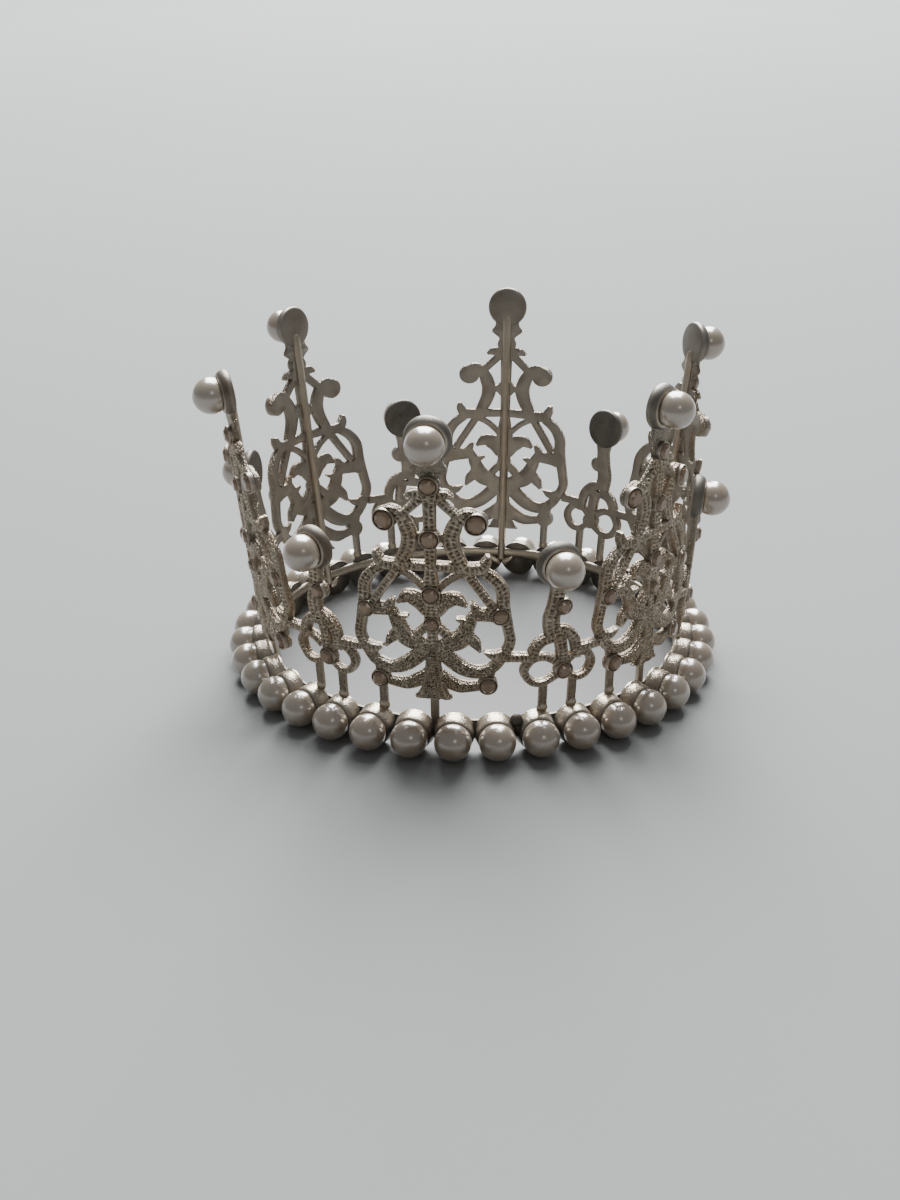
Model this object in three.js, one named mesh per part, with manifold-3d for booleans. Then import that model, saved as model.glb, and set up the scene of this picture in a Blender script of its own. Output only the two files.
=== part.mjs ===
// A small round filigree crown: six tall pierced panels and six low ones stand on a band of round cups,
// each tall or low panel ends in a cup, and every cup carries a pearl on its outer side.
// Millimetres, +Z up, origin on the axis of the ring at the level of the surface it stands on.
import * as THREE from 'three';
import { mergeVertices } from 'three/addons/utils/BufferGeometryUtils.js';
import Module from 'manifold-3d';

const wasm = await Module();
wasm.setup();

// Driving sizes of the ring
const SECTIONS = 6;                 // one tall and one low panel each
const PEARLS_PER_SECTION = 6;
const PEARL_RADIUS = 3.5;
const PEARL_SIDES = 10;
const PEARL_ROWS = 5;
const PEARL_CIRCLE = 47.5;          // radius of the circle through the base pearls' centres
const SEAT_GAP = 0.3;               // clearance between a pearl and its cup, and under each foot
const CUP_THICKNESS = 0.8;
const BASE_CUP_RADIUS = 4.2;
const BASE_CUP_SIDES = 3;           // straight lengths over the top of a base cup, and under it
const STRIP_HEIGHT = 2.6;
const STRIP_RISE = 0.75;            // middle of the strip above the middle of the cups
const STRIP_DEPTH = 0.8;
const STRIP_SINK = 0.2;             // how far the strip runs into the backs of the cups

// Driving sizes of the panels
const PANEL_THICKNESS = 1.5;
const PANEL_BACK_RADIUS = 42.2;     // back of a panel, level with the pearls of the base
const PATTERN_RADIUS = 43.7;        // radius at which the pattern's sideways sizes are true
const MEAN_LEAN = 5.4;
const LINK_SPAN = [14, 17];         // where the lean passes from the tall panel's to the low one's
const FINIAL = { radius: 4.5, sides: 10, back: -0.6, front: 1.6 };   // depths of the cup's two faces
const DISH = { rim: 3.5, floor: 1.2, depth: 1.85, mouth: 1.0 };      // the hollow that the pearl sits in
const TALL_FINIAL = { u: 0, v: 58.6 };
const LOW_FINIAL = { u: -0.5, v: 34.0 };
const RIB = { width: 1.8, depth: 0.9, sink: 0.2, top: 57 };
const LEG_WIDTH = 1.6;
const BOSS_SIDES = 8;
const STONE_SIDES = 8;
const STONE_HEIGHT = 1.1;
const STONE_TABLE = 0.55;           // radius of the table, as a share of the girdle's
const OUTLINE_TOLERANCE = 0.5;      // how closely a panel's outline follows its scrolls
const SMALLEST_GAP = 0.6;           // area of the smallest piercing
const SINK = 0.3;                   // how far joined metal runs into its neighbour
const SAME_PLACE = 1e-5;            // points closer than this are one
const ON_THE_BACK = 1e-4;           // a point this close to depth 0 lies on the back face

const PEARLS = SECTIONS * PEARLS_PER_SECTION;
const CUP_PITCH = (2 * Math.PI) / PEARLS;
const CUP_FRONT = PEARL_CIRCLE - PEARL_RADIUS - SEAT_GAP;
const CUP_BACK = CUP_FRONT - CUP_THICKNESS;
const BASE_LEVEL = cupReach(CUP_PITCH / BASE_CUP_SIDES / 2);   // the cups stand on their lowest flats
const STRIP_TOP = STRIP_RISE + STRIP_HEIGHT / 2;
const LOW_OFFSET = (PATTERN_RADIUS * Math.PI) / SECTIONS;   // from a tall panel's middle to the low one's
const RIB_FOOT = STRIP_TOP + SEAT_GAP;
const LEG_FOOT = BASE_CUP_RADIUS + SEAT_GAP;

// Degrees that each section's tall and low panel lean outwards: bent by hand, so no two are quite alike.
const LEANS = [
  { tall: 4.2, low: 4.6 },
  { tall: 1.6, low: 4.4 },
  { tall: 6.4, low: 6.4 },
  { tall: 6.6, low: 6.6 },
  { tall: 7.2, low: 6.2 },
  { tall: 6.4, low: 4.4 },
];

// Scrolls of a tall panel's right half, mirrored to the left. Each knot is [u, v, width]:
// u sideways from the middle, v upwards from the pearls of the base, and the width of the stroke there.
const TALL_SCROLLS = [
  { name: 'neck strap', steps: 1, knots: [[1.5, 47.5, 1.6], [5.0, 44.0, 1.6]] },
  { name: 'neck barb', steps: 1, knots: [[1.0, 48.4, 2.2], [4.0, 48.0, 0.6]] },
  { name: 'shoulder curl', steps: 7,
    knots: [[7.9, 44.6, 1.6], [6.3, 45.0, 1.9], [4.9, 43.8, 2.3], [4.0, 41.9, 2.8],
      [3.55, 39.8, 3.0], [4.2, 37.2, 2.7], [5.8, 34.3, 1.9]] },
  { name: 'stone bridge', steps: 1, knots: [[0, 40.1, 1.6], [3.0, 40.1, 1.6]] },
  { name: 'crossbar', steps: 1, knots: [[0, 34.6, 1.9], [6.2, 34.3, 1.9]] },
  { name: 'shoulder thorn', steps: 2, knots: [[5.8, 34.3, 2.0], [8.7, 34.3, 2.4], [9.7, 36.8, 0.8]] },
  { name: 'crescent strut', steps: 1, knots: [[5.7, 33.5, 1.3], [0.6, 29.9, 1.3]] },
  { name: 'long strut', steps: 1, knots: [[6.0, 33.6, 1.6], [10.8, 26.2, 1.6]] },
  { name: 'outer arc', steps: 6,
    knots: [[8.8, 33.7, 1.9], [10.9, 32.1, 2.1], [12.4, 29.6, 2.3], [12.7, 25.8, 2.4],
      [13.6, 21.6, 2.0], [13.9, 18.6, 2.0], [12.0, 15.0, 2.0]] },
  { name: 'lower crescent', steps: 5,
    knots: [[12.9, 16.4, 2.0], [11.0, 13.9, 2.2], [8.2, 12.7, 2.8], [4.9, 13.8, 3.3], [0.8, 17.6, 3.0]] },
  { name: 'bracket', steps: 1, knots: [[12.9, 24.6, 2.9], [7.4, 25.0, 2.5]] },
  { name: 'bracket thorn', steps: 1, knots: [[8.0, 25.5, 2.2], [7.0, 27.4, 0.5]] },
  { name: 'inner limb', steps: 4,
    knots: [[7.6, 25.6, 1.4], [6.4, 22.6, 2.7], [5.0, 19.8, 3.8], [2.4, 18.4, 3.2], [0.6, 17.5, 2.6]] },
  { name: 'inner barb', steps: 1, knots: [[6.8, 23.3, 2.0], [4.3, 24.1, 0.4]] },
  { name: 'comma spur', steps: 1, knots: [[5.8, 20.6, 3.2], [8.5, 17.5, 0.4]] },
  { name: 'outer spur', steps: 1, knots: [[12.4, 16.4, 2.6], [9.4, 17.2, 0.4]] },
  { name: 'leaf', steps: 3,
    knots: [[0.4, 26.3, 4.6], [2.6, 27.6, 3.2], [4.3, 28.0, 2.6], [6.1, 26.9, 0.5]] },
  { name: 'teardrop strap', steps: 1, knots: [[0.6, 22.4, 1.3], [2.8, 19.6, 1.2]] },
  { name: 'lower frond', steps: 4,
    knots: [[0.6, 12.6, 2.4], [2.5, 11.2, 2.9], [4.8, 10.1, 2.6], [7.4, 10.1, 1.9], [9.4, 10.3, 1.7]] },
  { name: 'ball tie', steps: 1, knots: [[10.1, 11.0, 1.8], [10.7, 13.8, 1.8]] },
];

// Strokes on a tall panel's own middle line, and the one leg that it has, on its left.
const TALL_MIDDLE = [
  { name: 'neck', steps: 6,
    knots: [[0, 55.8, 4.8], [0, 54.6, 4.6], [0, 53.2, 6.0], [0, 51.5, 3.1], [0, 50.3, 3.8],
      [0, 48.8, 3.4], [0, 46.6, 2.2]] },
  { name: 'upper stem', steps: 1, knots: [[0, 46.8, 2.3], [0, 33.8, 2.0]] },
  { name: 'lower stem', steps: 4,
    knots: [[0, 34.2, 1.8], [0, 29.8, 3.0], [0, 23.4, 2.8], [0, 20.4, 1.7], [0, 11.6, 2.2]] },
  { name: 'fishtail', steps: 1, knots: [[0, 12.4, 2.0], [0, 7.4, 6.8]] },
  { name: 'leg', steps: 1, knots: [[-10.0, 10.4, LEG_WIDTH], [-10.0, LEG_FOOT, LEG_WIDTH]] },
];

// Scrolls of a low panel, which isn't symmetrical.
const LOW_SCROLLS = [
  { name: 'stem', steps: 4,
    knots: [[-0.5, 31.0, 3.8], [-0.5, 28.4, 2.8], [-0.8, 25.8, 3.0], [-1.4, 22.8, 3.2],
      [-0.9, 19.8, 3.4]] },
  { name: 'left arch', steps: 3,
    knots: [[-0.8, 19.3, 2.2], [-3.0, 18.7, 2.2], [-4.4, 17.0, 2.2], [-4.9, 14.6, 1.7]] },
  { name: 'right arch', steps: 4,
    knots: [[-0.6, 20.9, 2.0], [1.6, 20.2, 2.2], [3.2, 18.4, 2.2], [3.8, 16.0, 2.0], [3.9, 14.2, 1.7]] },
  { name: 'middle strap', steps: 2, knots: [[0.3, 19.6, 2.5], [0.9, 16.5, 2.3], [1.3, 11.4, 2.8]] },
  { name: 'left loop', steps: 6,
    knots: [[-0.2, 14.0, 1.6], [-2.4, 15.3, 1.6], [-4.8, 15.1, 1.7], [-6.2, 12.7, 1.7],
      [-4.8, 10.3, 1.5], [-2.4, 9.9, 1.4], [0.6, 11.4, 1.4]] },
  { name: 'right loop', steps: 6,
    knots: [[2.0, 13.6, 1.3], [3.4, 14.9, 1.5], [5.8, 15.0, 1.7], [7.3, 12.8, 1.6],
      [6.3, 10.5, 1.5], [4.2, 9.9, 1.4], [2.0, 11.2, 1.3]] },
  { name: 'left leg', steps: 1, knots: [[-2.3, 10.2, LEG_WIDTH], [-2.3, LEG_FOOT, LEG_WIDTH]] },
  { name: 'right leg', steps: 1, knots: [[3.7, 10.2, LEG_WIDTH], [3.7, LEG_FOOT, LEG_WIDTH]] },
  { name: 'left link', steps: 1, knots: [[-4.8, 15.6, 1.9], [-9.8, 15.9, 1.8]] },
  { name: 'right link', steps: 1, knots: [[4.0, 16.0, 1.9], [8.5, 16.3, 1.8]] },
];

// Stones and the round bosses that carry them; a boss radius of 0 leaves the stone on the scrolls.
const TALL_STONES = [
  { u: 0, v: 50.3, radius: 1.45, boss: 0 },
  { u: 0, v: 40.1, radius: 1.5, boss: 1.9 },
  { u: 0, v: 29.0, radius: 1.4, boss: 0 },
  { u: 0, v: 23.0, radius: 1.2, boss: 0 },
  { u: 7.7, v: 43.3, radius: 1.75, boss: 2.15 },
  { u: -7.7, v: 43.3, radius: 1.75, boss: 2.15 },
  { u: 12.1, v: 24.8, radius: 1.4, boss: 1.7 },
  { u: -12.1, v: 24.8, radius: 1.4, boss: 1.7 },
  { u: 10.0, v: 10.4, radius: 1.5, boss: 1.75 },
  { u: -10.0, v: 10.4, radius: 1.5, boss: 1.75 },
];
const LOW_STONES = [
  { u: 0.5, v: 25.7, radius: 1.35, boss: 1.5 },
  { u: 1.3, v: 12.2, radius: 1.45, boss: 1.7 },
];

const METAL = { color: 0x8f7f68, roughness: 0.45, metalness: 0.85 };
const PEARL = { color: 0xcbbfb4, roughness: 0.25, metalness: 0.0 };

// A closed geometry as a solid that can be joined
function solid(geometry) {
  geometry.deleteAttribute('normal');
  geometry.deleteAttribute('uv');
  const merged = mergeVertices(geometry, SAME_PLACE);
  return new wasm.Manifold(new wasm.Mesh({
    numProp: 3,
    vertProperties: new Float32Array(merged.attributes.position.array),
    triVerts: new Uint32Array(merged.index.array),
  }));
}

function joined(solids) {
  return solids.reduce((whole, piece) => whole.add(piece));
}

function toGeometry(body) {
  const mesh = body.getMesh();
  const geometry = new THREE.BufferGeometry();
  geometry.setAttribute('position', new THREE.BufferAttribute(new Float32Array(mesh.vertProperties), 3));
  geometry.setIndex(new THREE.BufferAttribute(new Uint32Array(mesh.triVerts), 1));
  return geometry;
}

function plate(shape) {
  const options = { depth: PANEL_THICKNESS, bevelEnabled: false, steps: 1, curveSegments: BOSS_SIDES / 2 };
  return solid(new THREE.ExtrudeGeometry(shape, options));
}

// A stroke of changing width along a smooth curve through its knots
function scroll({ knots, steps }, side = 1) {
  const line = new THREE.SplineCurve(knots.map(([u, v]) => new THREE.Vector2(side * u, v)));
  const left = [];
  const right = [];
  for (let i = 0; i <= steps; i += 1) {
    const t = i / steps;
    const place = t * (knots.length - 1);
    const knot = Math.min(Math.floor(place), knots.length - 2);
    const width = THREE.MathUtils.lerp(knots[knot][2], knots[knot + 1][2], place - knot);
    const middle = line.getPoint(t);
    const along = line.getTangent(t);
    const across = new THREE.Vector2(-along.y, along.x).multiplyScalar(width / 2);
    left.push(middle.clone().add(across));
    right.unshift(middle.clone().sub(across));
  }
  return plate(new THREE.Shape([...left, ...right]));
}

function boss({ u, v, boss: radius }) {
  return plate(new THREE.Shape().absarc(u, v, radius, 0, 2 * Math.PI));
}

// The closed loops around the back face of a joined flat pattern, each a list of points
function outlineLoops(flat) {
  const { vertProperties, triVerts, numProp } = flat.getMesh();
  const point = (i) => new THREE.Vector2(vertProperties[i * numProp], vertProperties[i * numProp + 1]);
  const isBack = (i) => Math.abs(vertProperties[i * numProp + 2]) < ON_THE_BACK;
  const next = new Map();
  for (let i = 0; i < triVerts.length; i += 3) {
    const corners = [triVerts[i], triVerts[i + 1], triVerts[i + 2]];
    if (!corners.every(isBack)) continue;
    corners.forEach((from, side) => {
      const to = corners[(side + 1) % 3];
      if (next.get(to)?.delete(from)) return;
      if (!next.has(from)) next.set(from, new Set());
      next.get(from).add(to);
    });
  }
  const loops = [];
  for (const [start, ends] of next) {
    while (ends.size > 0) {
      const loop = [];
      let at = start;
      do {
        loop.push(point(at));
        const [to] = next.get(at);
        next.get(at).delete(to);
        at = to;
      } while (at !== start);
      loops.push(loop);
    }
  }
  return loops;
}

// Drops the points that lie within the tolerance of the line between their neighbours
function thinned(points) {
  if (points.length < 3) return points;
  const [first, last] = [points[0], points[points.length - 1]];
  const chord = new THREE.Line3(new THREE.Vector3(first.x, first.y), new THREE.Vector3(last.x, last.y));
  const foot = new THREE.Vector3();
  let farthest = 0;
  let distance = 0;
  points.forEach((p, i) => {
    const spot = new THREE.Vector3(p.x, p.y);
    const away = chord.closestPointToPoint(spot, true, foot).distanceTo(spot);
    if (away > distance) [farthest, distance] = [i, away];
  });
  if (distance < OUTLINE_TOLERANCE) return [first, last];
  return [...thinned(points.slice(0, farthest + 1)).slice(0, -1), ...thinned(points.slice(farthest))];
}

function thinnedLoop(loop) {
  const start = loop.reduce((best, p, i) => (p.y < loop[best].y ? i : best), 0);
  const turned = [...loop.slice(start), ...loop.slice(0, start + 1)];
  const opposite = turned.reduce((best, p, i) => (p.y > turned[best].y ? i : best), 0);
  const up = thinned(turned.slice(0, opposite + 1));
  const down = thinned(turned.slice(opposite));
  return [...up.slice(0, -1), ...down.slice(0, -1)];
}

// Joins the strokes of a pattern, and makes them again as one pierced plate with a plain outline
function piercedPlate(strokes) {
  const loops = outlineLoops(joined(strokes)).map(thinnedLoop);
  const areas = loops.map((loop) => Math.abs(THREE.ShapeUtils.area(loop)));
  const outer = areas.indexOf(Math.max(...areas));
  const shape = new THREE.Shape(loops[outer]);
  const gaps = loops.filter((_, i) => i !== outer && areas[i] > SMALLEST_GAP);
  shape.holes = gaps.map((loop) => new THREE.Path(loop));
  return plate(shape);
}

// The half-round rib that runs down the back of a tall panel
function backRib() {
  const half = RIB.width / 2;
  const section = new THREE.Shape([
    new THREE.Vector2(-half, -RIB.sink), new THREE.Vector2(half, -RIB.sink),
    new THREE.Vector2(half / 2, RIB.depth), new THREE.Vector2(-half / 2, RIB.depth),
  ]);
  const bar = new THREE.ExtrudeGeometry(section, { depth: RIB.top - RIB_FOOT, bevelEnabled: false });
  return solid(bar.rotateX(-Math.PI / 2).translate(0, RIB_FOOT, 0));
}

// The leaning surface that a section's pattern is bent onto; depth 0 is the back of its panels.
function onCrown({ azimuth, lean }, u, v, depth) {
  const share = THREE.MathUtils.smoothstep(u, LINK_SPAN[0], LINK_SPAN[1]);
  const tilt = THREE.MathUtils.degToRad(THREE.MathUtils.lerp(lean.tall, lean.low, share));
  const angle = azimuth + u / PATTERN_RADIUS;
  const radius = PANEL_BACK_RADIUS + v * Math.sin(tilt) + depth * Math.cos(tilt);
  const height = BASE_LEVEL + v * Math.cos(tilt) - depth * Math.sin(tilt);
  return new THREE.Vector3(radius * Math.sin(angle), -radius * Math.cos(angle), height);
}

function bent(flat, section) {
  const geometry = toGeometry(flat);
  const place = geometry.attributes.position;
  for (let i = 0; i < place.count; i += 1) {
    const point = onCrown(section, place.getX(i), place.getY(i), place.getZ(i));
    place.setXYZ(i, point.x, point.y, point.z);
  }
  return geometry;
}

// A cut stone on the front of the flat pattern: a girdle, eight facets and a table
function stone({ u, v, radius }) {
  const height = STONE_HEIGHT + SINK;
  const cut = new THREE.CylinderGeometry(STONE_TABLE * radius, radius, height, STONE_SIDES);
  return solid(cut.rotateX(Math.PI / 2).translate(u, v, PANEL_THICKNESS - SINK + height / 2));
}

// A round body that faces outwards at a panel's tip, drawn narrower by as much as the lean spreads it
function tipRound({ u, v }, outerRadius, innerRadius, front, back) {
  const spread = (PANEL_BACK_RADIUS + v * Math.sin(THREE.MathUtils.degToRad(MEAN_LEAN))) / PATTERN_RADIUS;
  const round = new THREE.CylinderGeometry(outerRadius, innerRadius, front - back, FINIAL.sides);
  return solid(round.rotateX(Math.PI / 2).scale(1 / spread, 1, 1).translate(u, v, (front + back) / 2));
}

function finialCup(tip) {
  return tipRound(tip, FINIAL.radius, FINIAL.radius, FINIAL.front, FINIAL.back);
}

function finialDish(tip) {
  const slope = (DISH.rim - DISH.floor) / DISH.depth;
  const mouth = DISH.rim + slope * DISH.mouth;
  return tipRound(tip, mouth, DISH.floor, FINIAL.front + DISH.mouth, FINIAL.front - DISH.depth);
}

// A tall panel and the low one at its right, cast as one pierced plate with its rib, cups and stones
function panelPair() {
  const shiftRow = (row) => ({ ...row, u: row.u + LOW_OFFSET });
  const shiftKnot = ([u, v, width]) => [u + LOW_OFFSET, v, width];
  const shiftScroll = (row) => ({ ...row, knots: row.knots.map(shiftKnot) });
  const stones = [...TALL_STONES, ...LOW_STONES.map(shiftRow)];
  const strokes = [...TALL_MIDDLE, ...LOW_SCROLLS.map(shiftScroll)].map((row) => scroll(row));
  const sides = TALL_SCROLLS.flatMap((row) => [scroll(row, 1), scroll(row, -1)]);
  const bosses = stones.filter((row) => row.boss > 0).map(boss);
  const lace = piercedPlate([...strokes, ...sides, ...bosses]);
  const tips = [TALL_FINIAL, shiftRow(LOW_FINIAL)];
  const whole = joined([lace, backRib(), ...tips.map(finialCup), ...stones.map(stone)]);
  return tips.map(finialDish).reduce((rest, dish) => rest.subtract(dish), whole);
}

function mesh(name, geometry, { color, roughness, metalness }) {
  const piece = new THREE.Mesh(geometry, new THREE.MeshStandardMaterial({ color, roughness, metalness }));
  piece.name = name;
  return piece;
}

function pearl(name, position) {
  const bead = mesh(name, new THREE.SphereGeometry(PEARL_RADIUS, PEARL_SIDES, PEARL_ROWS), PEARL);
  bead.rotation.x = Math.PI / 2;
  bead.position.copy(position);
  return bead;
}

// How far a base cup's edge lies above or below its middle, at an angle sideways from there
function cupReach(angle) {
  const aside = CUP_BACK * Math.sin(angle);
  return Math.sqrt(BASE_CUP_RADIUS ** 2 - aside ** 2);
}

function ring(inner, outer, bottom, top, segments) {
  const corners = [[inner, bottom], [outer, bottom], [outer, top], [inner, top], [inner, bottom]];
  const profile = corners.map(([radius, height]) => new THREE.Vector2(radius, height));
  return new THREE.LatheGeometry(profile, segments).rotateX(Math.PI / 2);
}

// The cups side by side as one scalloped ring, and the strip that runs behind them
function baseBand() {
  const scallops = ring(CUP_BACK, CUP_FRONT, -1, 1, PEARLS * BASE_CUP_SIDES);
  const place = scallops.attributes.position;
  for (let i = 0; i < place.count; i += 1) {
    const azimuth = Math.atan2(place.getX(i), -place.getY(i));
    const fromCup = THREE.MathUtils.euclideanModulo(azimuth, CUP_PITCH) - CUP_PITCH / 2;
    place.setZ(i, BASE_LEVEL + place.getZ(i) * cupReach(fromCup));
  }
  const top = BASE_LEVEL + STRIP_TOP;
  const strip = ring(CUP_BACK - STRIP_DEPTH, CUP_BACK + STRIP_SINK, top - STRIP_HEIGHT, top, PEARLS);
  return solid(scallops).add(solid(strip));
}

// The base pearls sit either side of each panel's middle line.
function pearlAzimuths() {
  return Array.from({ length: PEARLS }, (_, i) => (i + 0.5) * CUP_PITCH);
}

const crown = new THREE.Group();
crown.name = 'round_tiara_crown';
crown.add(mesh('base_band', toGeometry(baseBand()), METAL));
pearlAzimuths().forEach((azimuth, i) => {
  const place = new THREE.Vector3(
    PEARL_CIRCLE * Math.sin(azimuth), -PEARL_CIRCLE * Math.cos(azimuth), BASE_LEVEL);
  crown.add(pearl(`base_pearl_${String(i + 1).padStart(2, '0')}`, place));
});

const pairPattern = panelPair();
const seat = FINIAL.front - DISH.depth + SEAT_GAP + PEARL_RADIUS;
LEANS.forEach((lean, i) => {
  const section = { azimuth: (i * 2 * Math.PI) / SECTIONS, lean };
  const tallPlace = onCrown(section, TALL_FINIAL.u, TALL_FINIAL.v, seat);
  const lowPlace = onCrown(section, LOW_OFFSET + LOW_FINIAL.u, LOW_FINIAL.v, seat);
  crown.add(mesh(`panel_pair_${i + 1}`, bent(pairPattern, section), METAL));
  crown.add(pearl(`tall_pearl_${i + 1}`, tallPlace));
  crown.add(pearl(`low_pearl_${i + 1}`, lowPlace));
});

export default crown;
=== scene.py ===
"""A small round filigree crown with pearls: pierced castings, tall and low in turn, on a band of cups."""

import math

import bmesh
import bpy
import numpy as np
from bpy.props import FloatProperty, FloatVectorProperty, IntProperty, PointerProperty
from bpy.types import Operator, Panel, PropertyGroup
from mathutils import Matrix, Vector
from mathutils.geometry import delaunay_2d_cdt


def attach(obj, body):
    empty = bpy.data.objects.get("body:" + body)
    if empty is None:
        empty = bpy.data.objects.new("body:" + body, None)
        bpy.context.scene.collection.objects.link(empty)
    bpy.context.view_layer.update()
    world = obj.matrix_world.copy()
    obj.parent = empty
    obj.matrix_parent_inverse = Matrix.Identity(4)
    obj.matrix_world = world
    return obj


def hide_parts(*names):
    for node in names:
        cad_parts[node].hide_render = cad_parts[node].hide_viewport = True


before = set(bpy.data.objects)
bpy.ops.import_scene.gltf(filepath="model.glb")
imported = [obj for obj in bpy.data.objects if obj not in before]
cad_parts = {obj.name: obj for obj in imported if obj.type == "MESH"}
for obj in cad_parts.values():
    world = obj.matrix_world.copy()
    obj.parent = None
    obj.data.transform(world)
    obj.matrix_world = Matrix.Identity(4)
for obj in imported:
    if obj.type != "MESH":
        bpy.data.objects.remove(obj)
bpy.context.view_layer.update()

bl_info = {
    "name": "Round Filigree Crown",
    "version": (1, 0, 0),
    "blender": (4, 5, 0),
    "location": "View3D > Sidebar > Crown",
    "description": "Makes a small round crown of pierced castings, cups, pearls and cut stones",
    "category": "Add Mesh",
}

# A millimetre in metres, a length that counts as none, and a step that shows which way a casting runs.
MM, TINY, NUDGE = 0.001, 1e-6, 0.01
BODY = "root"

# The ring and its cups, in millimetres
SECTIONS = 6
PEARLS = 36
CUP_BACK = 42.9
CUP_SIDES = 40
BASE_LEVEL = 4.014
STRIP_MIDDLE = BASE_LEVEL + 1.3

# The castings: the cone that they are bent onto, and the places on it
PANEL_BACK_RADIUS = 42.2
PATTERN_RADIUS = 43.7
LOW_OFFSET = PATTERN_RADIUS * math.pi / SECTIONS
LINK_SPAN = (14.0, 17.0)
TALL_TIP = (0.0, 58.6)
LOW_TIP = (LOW_OFFSET - 0.5, 34.0)
TIP_SEAT = 3.55
LEANS = (
    {"tall": 4.2, "low": 4.6},
    {"tall": 1.6, "low": 4.4},
    {"tall": 6.4, "low": 6.4},
    {"tall": 6.6, "low": 6.6},
    {"tall": 7.2, "low": 6.2},
    {"tall": 6.4, "low": 4.4},
)

# Scrolls of a tall panel's right half, mirrored to the left: rows of pits, and knots (u, v, width).
TALL_SCROLLS = {
    "neck strap": (1, ((1.5, 47.5, 1.6), (5.0, 44.0, 1.6))),
    "neck barb": (1, ((1.0, 48.3, 2.2), (2.6, 48.6, 1.8), (4.0, 48.0, 0.6))),
    "shoulder curl": (2, ((7.9, 44.6, 1.6), (6.3, 45.0, 1.9), (4.9, 43.8, 2.3), (4.0, 41.9, 2.8),
                          (3.55, 39.8, 3.0), (4.2, 37.2, 2.7), (5.8, 34.3, 1.9))),
    "stone bridge": (0, ((0, 40.1, 1.6), (3.0, 40.1, 1.6))),
    "crossbar": (1, ((0, 34.6, 1.9), (6.2, 34.3, 1.9))),
    "shoulder thorn": (1, ((5.8, 34.3, 2.0), (8.5, 34.3, 2.4), (9.5, 35.4, 1.9), (9.8, 36.9, 0.7))),
    "crescent strut": (0, ((6.0, 33.4, 1.3), (3.4, 32.0, 1.3), (0.9, 29.6, 1.3))),
    "long strut": (1, ((6.0, 33.6, 1.6), (10.8, 26.2, 1.6))),
    "outer arc": (2, ((8.8, 33.7, 1.9), (10.9, 32.1, 2.1), (12.4, 29.6, 2.3), (12.7, 25.8, 2.4),
                      (13.6, 21.6, 2.0), (13.9, 18.6, 2.0), (12.0, 15.0, 2.0))),
    "lower crescent": (4, ((12.9, 16.4, 2.0), (11.0, 14.0, 2.2), (8.2, 12.95, 2.6), (4.9, 14.1, 3.0),
                           (0.8, 17.8, 3.0))),
    "bracket": (4, ((12.9, 24.6, 2.9), (7.4, 25.0, 2.5))),
    "bracket thorn": (1, ((8.0, 25.4, 2.2), (7.5, 26.5, 1.4), (6.9, 27.5, 0.5))),
    "inner limb": (6, ((7.6, 25.6, 1.4), (6.4, 22.6, 2.7), (5.0, 19.8, 3.8), (2.4, 18.4, 3.2),
                       (0.6, 17.5, 2.6))),
    "inner barb": (1, ((6.8, 23.2, 2.0), (5.5, 23.8, 1.3), (4.3, 24.2, 0.5))),
    "comma spur": (4, ((5.8, 20.6, 3.2), (7.5, 19.3, 2.2), (8.6, 17.4, 0.6))),
    "outer spur": (1, ((12.4, 16.4, 2.6), (10.8, 16.5, 1.7), (9.3, 17.3, 0.5))),
    "leaf": (6, ((0.4, 26.3, 4.6), (2.6, 27.6, 3.2), (4.3, 28.1, 2.6), (6.2, 26.8, 0.6))),
    "teardrop strap": (1, ((0.5, 22.5, 1.9), (2.0, 21.3, 1.8), (3.0, 19.9, 1.6))),
    "lower frond": (4, ((0.6, 12.6, 2.4), (2.5, 11.0, 2.7), (4.8, 9.9, 2.5), (7.4, 9.9, 1.9),
                        (9.4, 10.3, 1.7))),
    "ball tie": (0, ((10.1, 11.0, 1.8), (10.7, 13.8, 1.8))),
}

# Strokes on a tall panel's middle line, and its one leg.
TALL_MIDDLE = {
    "collar": (0, ((0, 55.8, 4.8), (0, 54.6, 4.7), (0, 53.2, 6.2), (0, 51.5, 3.1), (0, 50.3, 3.8))),
    "neck": (2, ((0, 51.0, 3.4), (0, 50.3, 3.8), (0, 48.8, 3.4), (0, 46.6, 2.3))),
    "upper stem": (2, ((0, 46.8, 2.3), (0, 33.8, 2.0))),
    "lower stem": (2, ((0, 34.2, 2.0), (0, 29.8, 3.0), (0, 23.4, 2.8), (0, 20.4, 1.9), (0, 11.6, 2.2))),
    "fishtail": (8, ((0, 18.2, 1.5), (0, 14.5, 2.9), (0, 11.5, 3.8), (0, 9.5, 4.6), (0, 8.3, 5.6),
                     (0, 7.3, 7.4))),
    "leg": (0, ((-10.0, 10.4, 1.6), (-10.0, 4.0, 1.6))),
}

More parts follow.
